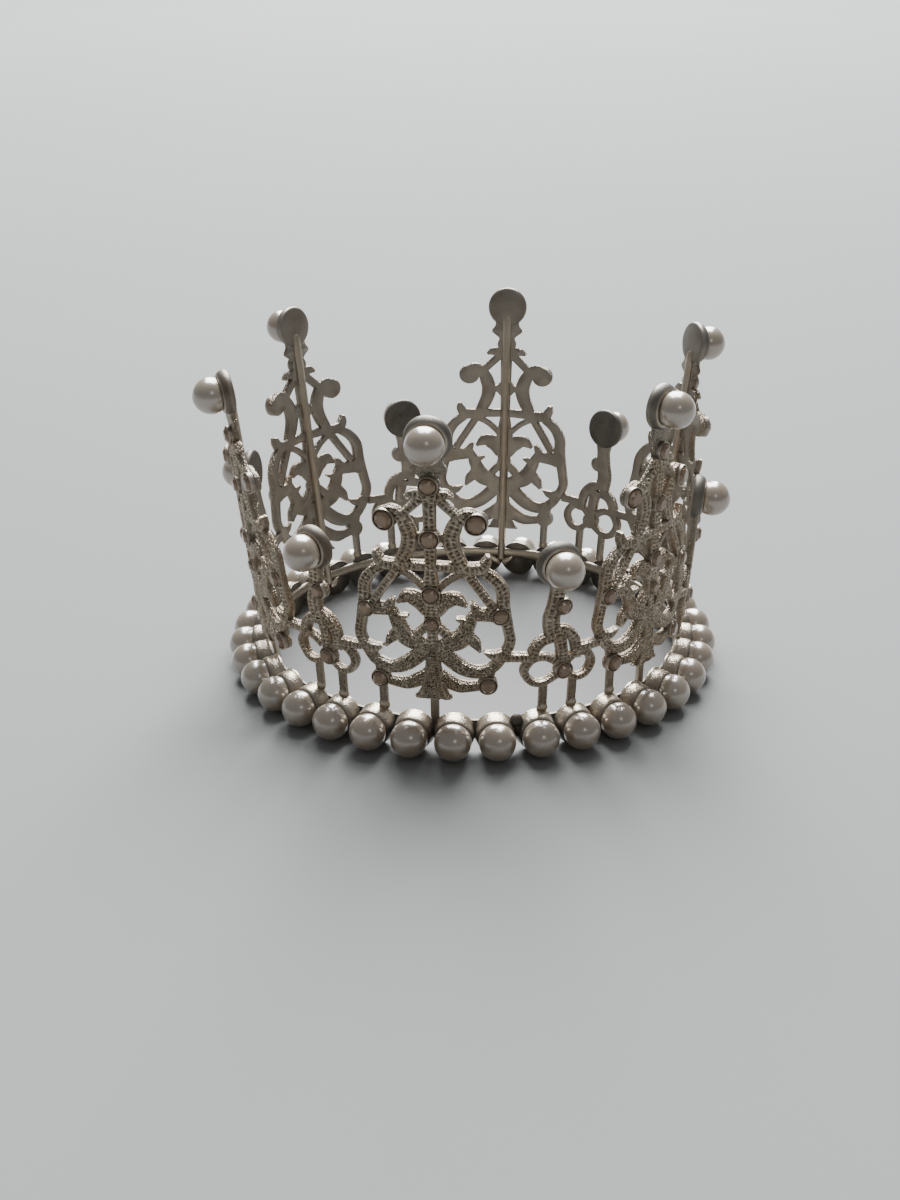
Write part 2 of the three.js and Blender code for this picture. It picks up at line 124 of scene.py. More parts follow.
# Strokes of a low panel.
LOW_SCROLLS = {
    "stem": (2, ((-0.5, 31.0, 3.8), (-0.5, 28.4, 2.8), (-0.8, 25.8, 3.0), (-1.4, 22.8, 3.2),
                 (-0.9, 19.8, 3.4))),
    "left arch": (2, ((-0.8, 19.3, 2.2), (-3.0, 18.7, 2.2), (-4.4, 17.0, 2.2), (-4.9, 14.6, 1.7))),
    "right arch": (2, ((-0.6, 20.9, 2.0), (1.6, 20.2, 2.2), (3.2, 18.4, 2.2), (3.8, 16.0, 2.0),
                       (3.9, 14.2, 1.7))),
    "middle strap": (2, ((0.3, 19.6, 2.5), (0.9, 16.5, 2.3), (1.3, 11.4, 2.8))),
    "left loop": (1, ((-0.2, 14.0, 1.6), (-2.4, 15.3, 1.6), (-4.8, 15.1, 1.7), (-6.2, 12.7, 1.7),
                      (-4.8, 10.3, 1.5), (-2.4, 9.9, 1.4), (0.6, 11.4, 1.4))),
    "right loop": (1, ((2.0, 13.6, 1.3), (3.4, 14.9, 1.5), (5.8, 15.0, 1.7), (7.3, 12.8, 1.6),
                       (6.3, 10.5, 1.5), (4.2, 9.9, 1.4), (2.0, 11.2, 1.3))),
    "left leg": (0, ((-2.3, 10.2, 1.6), (-2.3, 4.0, 1.6))),
    "right leg": (0, ((3.7, 10.2, 1.6), (3.7, 4.0, 1.6))),
    "left link": (1, ((-4.8, 15.6, 1.9), (-9.8, 15.9, 1.8))),
    "right link": (1, ((4.0, 16.0, 1.9), (8.9, 16.3, 1.8))),
}

# How a scroll is traced and joined: step along it, samples from knot to knot, least width, weld.
TRACE_STEP, KNOT_SAMPLES, LEAST_WIDTH, WELD = 0.4, 40, 0.24, 1e-4

# Films of tarnish on a casting's back, its front, and the lower and upper corners of its edge.
PLATE_FILMS = (0.49, 0.45, 0.45, 0.5)

# The relief of a scroll: shares of its half width, its depth in the plate, and its rim's fall outwards.
RELIEF_SHARE, RIM_MIDDLE, RIM_INSIDE, FINE_EDGE = 0.9, 0.92, 0.84, 0.7
RELIEF_SINK, RIM_DROP = 0.2, 0.55

# Its pits: points to a pit each way, rise of the walls, half widths and noise over which pits fade in.
PIT_POINTS, PIT_WALL = 4, (0.1, 0.75)
WIDE_ENOUGH, EVEN_ENOUGH = (0.25, 0.7), (0.0, 0.42)

# Scales of the noises that move the pits, and films of tarnish on the relief, in pits and at the rim's fall.
DRIFT_SCALE, UNEVEN_SCALE, SWAY_SCALE = 0.9, 1.7, 1.1
RELIEF_FILM, PIT_FILM, RIM_FILM = 0.04, 0.7, 0.5

# Wide scrolls have finer pits in less even rows, and the fishtail with its eight rows lies over the rest.
ROWS = (1, 2, 4, 6, 8)
MOST_COARSE_ROWS = 2
FINE_PITCH, FINE_DEPTH = 0.62, 0.75
FINE_SWAY, FINE_DRIFT = 3.5, 2.4
OVERLAY_ROWS, OVERLAY = 8, 0.16

# Stones: u, v and the radius of the setting; then a stone's share of that radius, and its depth.
TALL_STONES = (
    (0, 50.3, 1.85), (0, 40.1, 1.9), (0, 29.0, 1.8), (0, 23.0, 1.55), (7.7, 43.3, 2.15),
    (-7.7, 43.3, 2.15), (12.1, 24.8, 1.75), (-12.1, 24.8, 1.75), (10.0, 10.4, 1.85), (-10.0, 10.4, 1.85),
)
LOW_STONES = ((0.5, 25.7, 1.7), (1.3, 12.2, 1.8))
STONE_SHARE, STONE_DEPTH = 0.9, 1.45

# Rings of a stone of radius 1, from table to back: radius, height, turn in facets, and painted shade, none
# at the pale table and most at the girdle and back.
FACETS = 8
STONE_RINGS = (
    (0.56, 0.62, 0.0, 0.0), (0.86, 0.36, 0.5, 0.35), (1.0, 0.04, 0.0, 0.8), (1.0, -0.25, 0.0, 1.0),
)

# Turned pieces: radius, height and film of tarnish of each ring, in places painted shade. The base cups
# close round their pearls.
BASE_CUP = (
    (0.0, 0.0, 0.72), (3.86, 0.0, 0.72), (3.96, 0.06, 0.5), (3.98, 0.22, 0.25), (3.95, 0.42, 0.1),
    (3.8, 0.65, 0.15), (3.77, 1.3, 0.22), (3.74, 1.9, 0.25), (3.67, 2.4, 0.3), (3.56, 2.78, 0.32),
    (3.42, 3.03, 0.35), (3.28, 3.12, 0.4), (3.2, 3.06, 0.45), (3.1, 2.85, 0.5), (2.6, 2.1, 0.5),
    (1.8, 1.35, 0.5), (0.0, 0.95, 0.6),
)
# The cups' grain, and how much their sides are darkened where they meet their neighbours, as painted shade
# between the cups
CUP_GRAIN, CUP_SIDE_SHADE = 0.18, 0.42
# The strip's films are partly tarnish and partly painted light: its top face is darkened as painted shade,
# the upper half of its inside kept paler as a painted highlight and the lower half darker
STRIP = (
    (42.0, 0.0, 0.25), (42.04, -0.4, 0.35), (42.18, -0.78, 0.45), (42.45, -1.08, 0.5), (42.8, -1.18, 0.5),
    (43.1, -1.1, 0.8), (43.1, 1.1, 0.8), (42.8, 1.18, 0.75), (42.45, 1.08, 0.55), (42.18, 0.78, 0.25),
    (42.04, 0.4, 0.2),
)
STRIP_SIDES = 144
COLLET = (
    (0.8, 0.55, 0.9), (0.98, 0.55, 0.8), (1.0, 0.95, 0.4), (0.98, 1.03, 0.4), (0.93, 1.06, 0.4),
    (0.88, 1.03, 0.4), (0.86, 0.95, 0.4),
)
COLLET_DEPTH, SETTING_SIDES = 0.95, 24

# The shallow cups at the tips: radius and height of each ring, then each piece's place, back and wall film;
# the low cups' darker films are painted shade.
TIP_CUP_BACK = ((0.0, -0.4), (3.7, -0.4), (4.1, -0.27), (4.3, 0.02), (4.32, 0.4))
TIP_CUP_WALL = ((4.24, 0.85), (4.06, 1.25), (3.82, 1.58))
TIP_CUP_LIP = ((3.55, 1.83), (3.34, 1.93), (3.2, 1.9))
TIP_CUP_INSIDE = ((3.07, 1.75), (2.6, 1.05), (1.8, 0.3), (0.0, -0.05))
TIP_CUP_TARNISH_AND_SHADE = {"tall_cups": (TALL_TIP, 0.68, 0.88), "low_cups": (LOW_TIP, 0.88, 0.9)}
LIP_FILM, INSIDE_FILM = 0.35, 0.5

# A drop of solder of radius 1: radius and height of each ring.
DROP_SIDES, DROP_DEPTH = 16, 0.6
# Films of the drops at the castings' feet, and of the seam's drop, which is painted fully dark as shade
DROP_FILM, SEAM_SHADE_FILM = 0.3, 1.0
DROP = ((0.0, -0.7), (0.5, -0.6), (0.86, -0.35), (1.0, 0.0), (0.86, 0.35), (0.5, 0.58), (0.0, 0.66))

# The drop painted fully dark as shade where the ring's ends meet: its angle in degrees, radius, height and
# size.
RING_SEAM = (20.0, 44.5, BASE_LEVEL + 2.75, 1.35)

# Feet that are soldered on the strip: u, v, size of the solder.
SOLDERED = (
    (-10.0, 4.2, 1.15), (LOW_OFFSET - 2.3, 4.2, 1.1), (LOW_OFFSET + 3.7, 4.2, 1.15),
)

# The rib behind a tall panel: height and share of its depth at each level, then how it is seated.
RIB_LEVELS = (
    (0.0, 1.0), (2.0, 1.0), *((6.0 + 4.0 * k, 1.0) for k in range(13)),
    (55.6, 0.98), (56.4, 0.86), (56.9, 0.55), (57.1, 0.2),
)
RIB_ARC, RIB_LIFT, RIB_FILM = 13, 0.02, 0.32
RIB_ROOT, RIB_ROOT_DEPTH = 0.9, 0.3

# The two runs of solder at a rib's foot, inside the ring: knots (u, v, radius), and how the ends taper.
RUN_KNOTS = ((0.2, -0.7, 0.85), (1.5, -0.4, 0.85), (2.9, 0.6, 0.85))
RUN_DEPTH, RUN_FLATNESS = -0.4, 0.7
RUN_ROWS, RUN_SIDES = 12, 10
TAPER_START, TAPER_SPAN, TAPER_POWER = 0.06, 0.88, 0.6

# Tints of the finishes, as shares of red, green and blue, and the scales of their noises.
SMOOTH_TINT, WARM_TINT = (0.97, 1.01, 1.1), (1.0, 0.93, 0.84)
GREY_TINT, BROWN_TINT = (0.86, 1.0, 1.2), (1.2, 1.0, 0.94)
ROSY_TINT, FLOOR_TINT = (0.98, 0.92, 0.88), (0.96, 0.96, 0.96)
CLOUD_SCALE, SPECK_SCALE, BEAD_SCALE, PATCH_SCALE = 260.0, 2400.0, 2300.0, 42.0
PEARL_SCALE, STONE_SCALE, FLOOR_SCALE = 420.0, 900.0, 3.0
# How much paler a stone's table is painted: painted light
TABLE_GLOW_GAIN, TABLE_GLOW_LIFT = 1.8, 0.03

# Seeds of the tones that differ from copy to copy; each row of pearls has the next one.
METAL_SEED, SOLDER_SEED, STONE_SEED, FIRST_PEARL_SEED = 7, 5, 11, 3

# The stage, in metres: the floor's reach, and each lamp's place, size, power and colour.
FLOOR_REACH = 4
LAMPS = {
    "window": ((-0.3, 2.15, 2.4), (2.3, 3.5), 560.0, (0.98, 0.99, 1.0)),
    "ceiling_lamp": ((0.56, -1.1, 0.86), (0.3, 0.3), 0.6, (1.0, 0.97, 0.93)),
}
LAMP_AIM = (0, 0, 0.03)
SKY, SKY_STRENGTH = (0.78, 0.80, 0.82, 1.0), 0.36

# The camera: its place in millimetres, its turns in radians and its lens.
EYE = (49.93, -303.75, 148.9)
PAN, TILT, ROLL = 0.178, 0.419, -0.006
LENS, SENSOR, CLIP = 48.18, 36.0, (0.01, 20.0)


class CrownSizes(PropertyGroup):
    """Sizes that can be changed without moving the pieces apart"""

    pearl: FloatProperty(
        name="Pearl Radius", description="Radius of every pearl", default=3.5 * MM, unit="LENGTH")
    pearl_circle: FloatProperty(
        name="Pearl Circle", description="Radius of the circle through the base pearls",
        default=47.5 * MM, unit="LENGTH")
    plate: FloatProperty(
        name="Casting Thickness", description="Thickness of a casting under its grained relief",
        default=1.0 * MM, unit="LENGTH")
    chamfer: FloatProperty(
        name="Edge", description="Width of the broken edge around a casting",
        default=0.14 * MM, unit="LENGTH")
    relief: FloatProperty(
        name="Relief Height", description="How far the rims of a scroll stand over the casting",
        default=0.5 * MM, unit="LENGTH")
    pit: FloatProperty(
        name="Pit Depth", description="Depth of the pits between the rims",
        default=0.36 * MM, unit="LENGTH")
    pitch: FloatProperty(
        name="Pit Spacing", description="Distance from one pit to the next along a scroll",
        default=0.8 * MM, unit="LENGTH")
    rib: FloatProperty(
        name="Rib Radius", description="Radius of the half-round rib behind a tall panel",
        default=0.9 * MM, unit="LENGTH")
    pearl_sides: IntProperty(
        name="Pearl Sides", description="Sides of a pearl around its drill hole", default=40, min=12)


class CrownColours(PropertyGroup):
    """Colours of the finishes"""

    metal: FloatVectorProperty(
        name="Worn Metal", description="Rubbed pale gold on rims and edges", subtype="COLOR", size=3,
        default=(0.53, 0.46, 0.358))
    # The brown of the tarnish, also used for the shade painted on some pieces
    tarnish: FloatVectorProperty(
        name="Tarnish", description="Brown film in pits and on backs", subtype="COLOR", size=3,
        default=(0.10, 0.08, 0.058))
    pearl: FloatVectorProperty(
        name="Pearl", description="Pale rosy cream of the pearls", subtype="COLOR", size=3,
        default=(0.272, 0.222, 0.16))
    stone: FloatVectorProperty(
        name="Stone", description="Rosy brown of the cut stones", subtype="COLOR", size=3,
        default=(0.121, 0.076, 0.043))
    floor: FloatVectorProperty(
        name="Floor", description="Plain pale grey of the floor", subtype="COLOR", size=3,
        default=(0.215, 0.219, 0.217))


class Wire:
    """A socket in a node tree: sums and products of wires add Math nodes, and node() adds any other."""

    def __init__(self, socket):
        self.socket = socket

    @classmethod
    def node(cls, tree, kind, settings=None, sockets=None, out=0):
        """Adds a node with its settings, feeds its sockets by name or number, and gives one output."""
        made = tree.nodes.new(kind)
        for name, value in (settings or {}).items():
            setattr(made, name, value)
        for name, value in (sockets or {}).items():
            if isinstance(value, Wire):
                tree.links.new(value.socket, made.inputs[name])
            else:
                made.inputs[name].default_value = value
        return cls(made.outputs[out])

    def beside(self, out):
        """Another output of the same node"""
        return Wire(self.socket.node.outputs[out])

    def math(self, operation, first, second=0.0, third=0.0):
        return Wire.node(self.socket.id_data, "ShaderNodeMath", {"operation": operation},
                         {0: first, 1: second, 2: third})

    def __add__(self, other):
        return self.math("ADD", self, other)

    def __radd__(self, other):
        return self.math("ADD", other, self)

    def __sub__(self, other):
        return self.math("SUBTRACT", self, other)

    def __rsub__(self, other):
        return self.math("SUBTRACT", other, self)

    def __mul__(self, other):
        return self.math("MULTIPLY", self, other)

    def __rmul__(self, other):
        return self.math("MULTIPLY", other, self)

    def __truediv__(self, other):
        return self.math("DIVIDE", self, other)

    def __rtruediv__(self, other):
        return self.math("DIVIDE", other, self)

    def cosine(self):
        return self.math("COSINE", self)

    def size(self):
        return self.math("ABSOLUTE", self)

    def between(self, low, high):
        """The wire held between two values"""
        return self.math("MAXIMUM", self.math("MINIMUM", self, high), low)

    def step(self, low, high):
        """A smooth rise from 0 to 1 as the wire goes from low to high"""
        return Wire.node(self.socket.id_data, "ShaderNodeMapRange", {"interpolation_type": "SMOOTHSTEP"},
                         {0: self, 1: low, 2: high, 3: 0.0, 4: 1.0})

    def blend(self, first, second):
        """A colour that passes from the first to the second as the wire goes from 0 to 1"""
        return Wire.node(self.socket.id_data, "ShaderNodeMix", {"data_type": "RGBA"},
                         {0: self, 6: first, 7: second}, out=2)


def tinted(colour, tint=(1.0, 1.0, 1.0)):
    """An opaque colour with its red, green and blue scaled"""
    return (*(c * k for c, k in zip(colour, tint)), 1.0)


def new_material(name):
    """A material whose node tree is still empty, and that tree"""
    material = bpy.data.materials.new(name)
    material.use_nodes = True
    material.node_tree.nodes.clear()
    return material, material.node_tree


def surfaced(material, sockets):
    """The material with its shader, fed as the sockets say, and its output"""
    tree = material.node_tree
    shader = Wire.node(tree, "ShaderNodeBsdfPrincipled", {}, sockets)
    output = tree.nodes.new("ShaderNodeOutputMaterial")
    tree.links.new(shader.socket, output.inputs["Surface"])
    return material


def grain(tree, scale, detail=3.0):
    """Soft noise in the piece's own coordinates, from 0 to 1"""
    place = Wire.node(tree, "ShaderNodeTexCoord").beside("Object")
    return Wire.node(tree, "ShaderNodeTexNoise", {"noise_dimensions": "3D"},
                     {"Vector": place, "Scale": scale, "Detail": detail, "Roughness": 0.55})


def attribute(tree, name):
    return Wire.node(tree, "ShaderNodeAttribute", {"attribute_name": name}).beside("Fac")


def worn_pale_gold(colours):
    """Cast white metal in worn pale gold, brown where it isn't rubbed and where shade is painted, with fine
    grains on its fronts
    """
    material, tree = new_material("worn_pale_gold")
    tarnish, grained = attribute(tree, "tarnish"), attribute(tree, "grained")
    cloud = grain(tree, CLOUD_SCALE)
    speck = grain(tree, SPECK_SCALE, detail=2.0)
    place = Wire.node(tree, "ShaderNodeTexCoord").beside("Object")
    beads = Wire.node(tree, "ShaderNodeTexVoronoi", {"feature": "F1"},
                      {"Vector": place, "Scale": BEAD_SCALE})
    hollow = beads.step(0.2, 0.6) * grained
    # The film brings real tarnish, and on some pieces painted shade as well
    film = tarnish + hollow * 0.24 + (cloud - 0.5) * 0.4 + (speck - 0.5) * (0.08 + grained * 0.3)
    film = film.between(0.0, 1.0)
    warm = cloud.step(0.42, 0.72) * (0.3 + grained * 0.7)
    fresh = (grained + 1.0 - film.step(0.3, 0.5)).between(0.0, 1.0)
    rubbed = fresh.blend(tinted(colours.metal, SMOOTH_TINT), tinted(colours.metal))
    rubbed = warm.blend(rubbed, tinted(colours.metal, WARM_TINT))
    patch = grain(tree, PATCH_SCALE, detail=1.0).step(0.4, 0.62) * (0.45 + grained * 0.55)
    tarnished = patch.blend(tinted(colours.tarnish, GREY_TINT), tinted(colours.tarnish, BROWN_TINT))
    colour = film.blend(rubbed, tarnished)
    rough = 0.24 + film * 0.28 + (speck - 0.5) * 0.15
    bump = Wire.node(tree, "ShaderNodeBump", {}, {
        "Strength": 0.8, "Distance": 0.0002, "Height": speck * (0.06 + grained * 0.5) - hollow})
    return surfaced(material, {
        "Base Color": colour, "Metallic": 0.97 - film * 0.3, "Roughness": rough, "Normal": bump})


def pearl_lustre(colours):
    """Imitation pearl: a rosy cream body under a clear glossy skin"""
    material, tree = new_material("pearl_lustre")
    tone = attribute(tree, "tone")
    cloud = grain(tree, PEARL_SCALE, detail=2.0)
    rosy = tinted(colours.pearl, ROSY_TINT)
    colour = (tone * 0.5 + cloud * 0.5).step(0.2, 0.8).blend(tinted(colours.pearl), rosy)
    return surfaced(material, {
        "Base Color": colour, "Roughness": 0.34 + (cloud - 0.5) * 0.12, "Metallic": 0.12,
        "Coat Weight": 1.0, "Coat Roughness": 0.21, "Coat IOR": 2.45,
        "Sheen Weight": 0.2, "Sheen Roughness": 0.35, "Subsurface Weight": 0.12,
        "Subsurface Radius": (0.0012, 0.0008, 0.0006), "Subsurface Scale": 1.0})


def cut_stone(colours):
    """Foiled glass in a dull amber brown, with painted light: paler at its table, darker towards its girdle
    """
    material, tree = new_material("cut_stone")
    # The stone's rings bring painted shade, darkest at the girdle, and the table is painted paler as painted
    # light
    tone, edge = attribute(tree, "tone"), attribute(tree, "tarnish")
    cloud = grain(tree, STONE_SCALE, detail=2.0)
    pale = tinted([min(c * TABLE_GLOW_GAIN + TABLE_GLOW_LIFT, 1.0) for c in colours.stone])
    depth = (edge * 0.7 + tone * 0.25 + cloud * 0.3).between(0.0, 1.0)
    colour = depth.blend(pale, tinted(colours.stone))
    return surfaced(material, {
        "Base Color": colour, "Roughness": 0.12 + cloud * 0.12, "Metallic": 0.25,
        "Coat Weight": 0.6, "Coat Roughness": 0.06, "IOR": 1.5})


def floor_paint(colours):
    material, tree = new_material("pale_floor")
    cloud = grain(tree, FLOOR_SCALE, detail=4.0)
    colour = cloud.step(0.3, 0.7).blend(tinted(colours.floor), tinted(colours.floor, FLOOR_TINT))
    return surfaced(material, {"Base Color": colour, "Roughness": 0.85})


def finish_named(name, maker):
    """A finish, made the first time that a piece asks for it"""
    return bpy.data.materials.get(name) or maker(bpy.context.scene.crown_colours)


def metal():
    return finish_named("worn_pale_gold", worn_pale_gold)


class Shell:
    """Points and faces of a piece as it is put together, in millimetres, with its tarnish and painted shade,
    and its grain
    """

    def __init__(self):
        self.points, self.faces = [], []
        self.values = {"tarnish": [], "grained": []}

    def add(self, points, faces, tarnish, grained=0.0):
        start = len(self.points)
        self.points.extend(tuple(p) for p in points)
        self.faces.extend([i + start for i in face] for face in faces)
        for name, value in (("tarnish", tarnish), ("grained", grained)):
            self.values[name].extend(value if hasattr(value, "__len__") else [value] * len(points))

    def darken(self, rule):
        """Adds to the film at every point what the rule gives for its place; used for painted shade"""
        films = self.values["tarnish"]
        self.values["tarnish"] = [film + rule(*point) for film, point in zip(films, self.points)]

    def add_mesh(self, mesh, scale=1.0):
        points = np.empty(len(mesh.vertices) * 3, np.float32)
        mesh.vertices.foreach_get("co", points)
        values = {}
        for name in self.values:
            values[name] = np.zeros(len(mesh.vertices), np.float32)
            if name in mesh.attributes:
                mesh.attributes[name].data.foreach_get("value", values[name])
        faces = [list(p.vertices) for p in mesh.polygons]
        self.add((points.reshape(-1, 3) * scale).tolist(), faces, values["tarnish"].tolist(),
                 values["grained"].tolist())

    def mesh(self, name, scale=MM, sharp=40.0):
        made = bpy.data.meshes.new(name)
        made.from_pydata([(x * scale, y * scale, z * scale) for x, y, z in self.points], [], self.faces)
        for label, value in self.values.items():
            made.attributes.new(label, "FLOAT", "POINT").data.foreach_set("value", value)
        made.shade_smooth()
        made.set_sharp_from_angle(angle=math.radians(sharp))
        return made


def turned(profile, sides):
    """Points and faces of a (radius, height) profile turned about Z; ends on the axis close to a point."""
    angles = [2 * math.pi * k / sides for k in range(sides)]
    points, rows = [], []
    for radius, height in profile:
        start = len(points)
        if radius < TINY:
            points.append((0.0, 0.0, height))
            rows.append([start] * sides)
        else:
            points.extend((radius * math.cos(a), radius * math.sin(a), height) for a in angles)
            rows.append(list(range(start, start + sides)))
    pairs = list(zip(rows, rows[1:]))
    if profile[0][0] > TINY:
        pairs.append((rows[-1], rows[0]))
    faces = []
    for low, high in pairs:
        for k in range(sides):
            n = (k + 1) % sides
            corners = [low[k], low[n], high[n], high[k]]
            face = [c for i, c in enumerate(corners) if c != corners[i - 1]]
            if len(face) > 2:
                faces.append(face)
    return points, faces


def on_crown(section, u, v, depth):
    """Where a point of the flat pattern lies on a section bent round and leant outwards, in millimetres"""
    u, v, depth = (np.asarray(x, float) for x in (u, v, depth))
    share = np.clip((u - LINK_SPAN[0]) / (LINK_SPAN[1] - LINK_SPAN[0]), 0.0, 1.0)
    share = share * share * (3.0 - 2.0 * share)
    lean = LEANS[section]
    tilt = np.radians(lean["tall"] + (lean["low"] - lean["tall"]) * share)
    angle = section * 2 * math.pi / SECTIONS + u / PATTERN_RADIUS
    radius = PANEL_BACK_RADIUS + v * np.sin(tilt) + depth * np.cos(tilt)
    height = BASE_LEVEL + v * np.cos(tilt) - depth * np.sin(tilt)
    return np.stack([radius * np.sin(angle), -radius * np.cos(angle), height], axis=-1)


def seat_on_crown(section, u, v, depth):
    """A frame at a point of a casting: X sideways, Y up the panel, Z outwards; its place is in metres."""
    here = Vector(on_crown(section, u, v, depth))
    across = Vector(on_crown(section, u + NUDGE, v, depth)) - here
    up = Vector(on_crown(section, u, v + NUDGE, depth)) - here
    return framed(here * MM, across, up)


def seat_on_ring(index, radius):
    """A frame at the middle of a base cup, facing outwards"""
    angle = (index + 0.5) * 2 * math.pi / PEARLS
    here = Vector((radius * math.sin(angle), -radius * math.cos(angle), BASE_LEVEL)) * MM
    return framed(here, Vector((math.cos(angle), math.sin(angle), 0.0)), Vector((0.0, 0.0, 1.0)))


def framed(place, across, up):
    outward = across.cross(up).normalized()
    across = up.cross(outward).normalized()
    turn = Matrix((across, outward.cross(across), outward)).transposed()
    return Matrix.Translation(place) @ turn.to_4x4()


def new_nodes(name, inputs):
    """A geometry node group with the named inputs, and a wire from each"""
    tree = bpy.data.node_groups.new(name, "GeometryNodeTree")
    rows = (("Geometry", "NodeSocketGeometry", None), *inputs)
    for label, kind, default in rows:
        socket = tree.interface.new_socket(label, in_out="INPUT", socket_type=kind)
        if default is not None:
            socket.default_value = default
    tree.interface.new_socket("Geometry", in_out="OUTPUT", socket_type="NodeSocketGeometry")
    source = Wire.node(tree, "NodeGroupInput")
    return tree, {row[0]: source.beside(row[0]) for row in rows}


def end_nodes(tree, geometry, material):
    """Ends a node group with real geometry that carries its material"""
    real = Wire.node(tree, "GeometryNodeRealizeInstances", {}, {"Geometry": geometry})
    painted = Wire.node(tree, "GeometryNodeSetMaterial", {}, {"Geometry": real, "Material": material})
    output = tree.nodes.new("NodeGroupOutput")
    tree.links.new(painted.socket, output.inputs[0])


def named(tree, name, kind="FLOAT"):
    return Wire.node(tree, "GeometryNodeInputNamedAttribute", {"data_type": kind}, {"Name": name})


def kept(tree, geometry, name, value, domain="POINT"):
    """Geometry with a value kept on it under a name"""
    return Wire.node(tree, "GeometryNodeStoreNamedAttribute", {"data_type": "FLOAT", "domain": domain},
                     {"Geometry": geometry, "Name": name, "Value": value})


def setting_nodes():
    """Sets a copy of one piece on every point, turned and sized as the point says"""
    tree, inputs = new_nodes("Set on Points", (
        ("Piece", "NodeSocketObject", None),
        ("Seed", "NodeSocketInt", METAL_SEED),
        ("Finish", "NodeSocketMaterial", None),
    ))
    piece = Wire.node(tree, "GeometryNodeObjectInfo", {}, {"Object": inputs["Piece"]}).beside("Geometry")
    turn = Wire.node(tree, "FunctionNodeEulerToRotation", {}, {0: named(tree, "turn", "FLOAT_VECTOR")})
    copies = Wire.node(tree, "GeometryNodeInstanceOnPoints", {}, {
        "Points": inputs["Geometry"], "Instance": piece, "Rotation": turn, "Scale": named(tree, "size")})
    tone = Wire.node(tree, "FunctionNodeRandomValue", {"data_type": "FLOAT"},
                     {"Seed": inputs["Seed"]}, out=1)
    end_nodes(tree, kept(tree, copies, "tone", tone, "INSTANCE"), inputs["Finish"])
    return tree


def graining_nodes():
    """Draws a grained ribbon along every scroll: a rim at each side and rows of pits between"""
    tree, inputs = new_nodes("Grained Scroll", (
        ("Section", "NodeSocketObject", None),
        ("Step", "NodeSocketFloat", 0.2),
        ("Pit Spacing", "NodeSocketFloat", 0.8),
        ("Rows", "NodeSocketFloat", 2.0),
        ("Ground", "NodeSocketFloat", 1.0),
        ("Relief Height", "NodeSocketFloat", 0.5),
        ("Pit Depth", "NodeSocketFloat", 0.36),
        ("Sink", "NodeSocketFloat", RELIEF_SINK),
        ("Unevenness", "NodeSocketFloat", 1.2),
        ("Sway", "NodeSocketFloat", 0.0),
        ("Finish", "NodeSocketMaterial", None),
    ))
    lines = Wire.node(tree, "GeometryNodeMeshToCurve", {}, {"Mesh": inputs["Geometry"]})
    lines = Wire.node(tree, "GeometryNodeResampleCurve", {"mode": "LENGTH"},
                      {"Curve": lines, "Length": inputs["Step"]})
    lines = Wire.node(tree, "GeometryNodeSetCurveNormal", {"mode": "Z_UP"}, {"Curve": lines})
    lines = kept(tree, lines, "along", Wire.node(tree, "GeometryNodeSplineParameter").beside("Length"))
    section = Wire.node(tree, "GeometryNodeObjectInfo", {}, {"Object": inputs["Section"]})
    section = Wire.node(tree, "GeometryNodeMeshToCurve", {}, {"Mesh": section.beside("Geometry")})
    ribbon = Wire.node(tree, "GeometryNodeCurveToMesh", {}, {
        "Curve": lines, "Profile Curve": section, "Scale": named(tree, "half"), "Fill Caps": True})
    across, top, half = (named(tree, name) for name in ("across", "top", "half"))
    place = Wire.node(tree, "GeometryNodeInputPosition")

    def noise(scale, detail=0.0):
        return Wire.node(tree, "ShaderNodeTexNoise", {},
                         {"Vector": place, "Scale": scale, "Detail": detail})

    drift = noise(DRIFT_SCALE, 1.0) - 0.5
    uneven = noise(UNEVEN_SCALE)
    sway = noise(SWAY_SCALE) - 0.5
    lane = (across / RIM_INSIDE + 1.0).between(0.0, 2.0)
    inside = 1.0 - across.size().step(FINE_EDGE, RIM_INSIDE) * inputs["Sway"].between(0.0, 1.0)
    row = 0.5 - 0.5 * ((lane * inputs["Rows"] + sway * inputs["Sway"]) * math.pi).cosine()
    along = named(tree, "along") / inputs["Pit Spacing"] + drift * inputs["Unevenness"]
    rung = 0.5 - 0.5 * (along * (2 * math.pi)).cosine()
    pit = row.step(*PIT_WALL) * rung.step(*PIT_WALL) * half.step(*WIDE_ENOUGH)
    pit = pit * uneven.step(*EVEN_ENOUGH) * inside
    rim = 1.0 - RIM_DROP * across.size().step(RIM_INSIDE, 1.0)
    height = inputs["Ground"] + top * (inputs["Relief Height"] * rim - inputs["Pit Depth"] * pit)
    height = height - (1.0 - top) * inputs["Sink"]
    offset = Wire.node(tree, "ShaderNodeCombineXYZ", {}, {"Z": height})
    film = RELIEF_FILM + PIT_FILM * pit + RIM_FILM * (1.0 - rim)
    ribbon = kept(tree, ribbon, "tarnish", film.between(0.0, 1.0))
    ribbon = kept(tree, ribbon, "grained", 1.0)
    ribbon = Wire.node(tree, "GeometryNodeSetPosition", {}, {"Geometry": ribbon, "Offset": offset})
    end_nodes(tree, ribbon, inputs["Finish"])
    return tree


def shared_nodes(name, maker):
    return bpy.data.node_groups.get(name) or maker()


def run_nodes(source, tree, values):
    """The plain mesh that a node group makes of an object; the modifier is taken off again."""
    modifier = source.modifiers.new(tree.name, "NODES")
    modifier.node_group = tree
    sockets = {item.name: item.identifier for item in tree.interface.items_tree
               if item.item_type == "SOCKET" and item.in_out == "INPUT"}
    for name, value in values.items():
        modifier[sockets[name]] = value
    graph = bpy.context.evaluated_depsgraph_get()
    graph.update()
    made = bpy.data.meshes.new_from_object(source.evaluated_get(graph))
    source.modifiers.remove(modifier)
    if not made.polygons:
        raise RuntimeError(f"{tree.name} made no faces")
    return made


